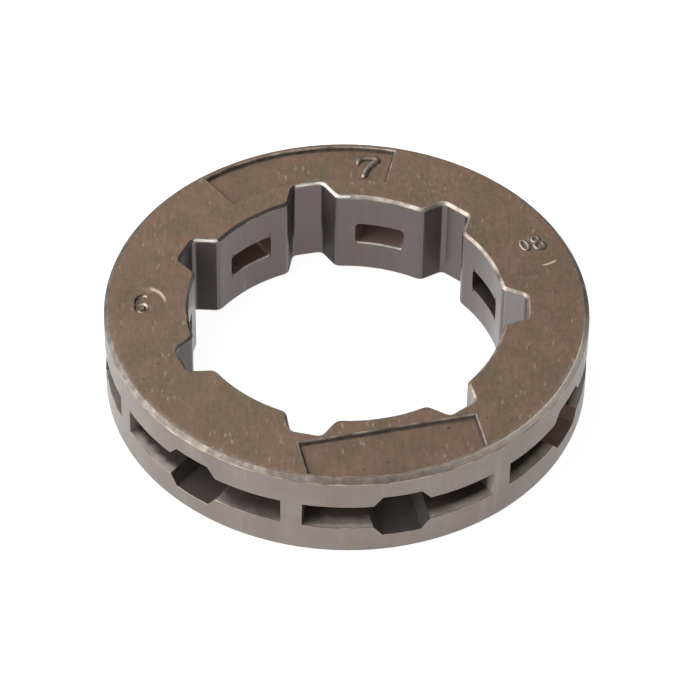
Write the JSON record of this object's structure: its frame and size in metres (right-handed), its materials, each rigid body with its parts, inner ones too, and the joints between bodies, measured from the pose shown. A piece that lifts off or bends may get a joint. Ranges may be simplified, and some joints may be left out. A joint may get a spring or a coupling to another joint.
{
  "type": "chainsaw rim sprocket",
  "caption": "Flat steel ring that slides on a splined clutch drum and drives the chain, with a slotted rim, drive pockets, chip windows and sunk panels.",
  "frame": {"origin": "centre of the bottom face, on the bore axis", "axes": "+Z along the bore axis, towards the face with the sunk panels; +X through the middle of a spline notch"},
  "size_m": [0.035, 0.035, 0.0073],
  "materials": {
    "rim_steel": "brown oxide skin on the faces, ground bare on the rim"
  },
  "bodies": {
    "root": {"rim_sprocket": "rim_steel"}
  },
  "joints": []
}
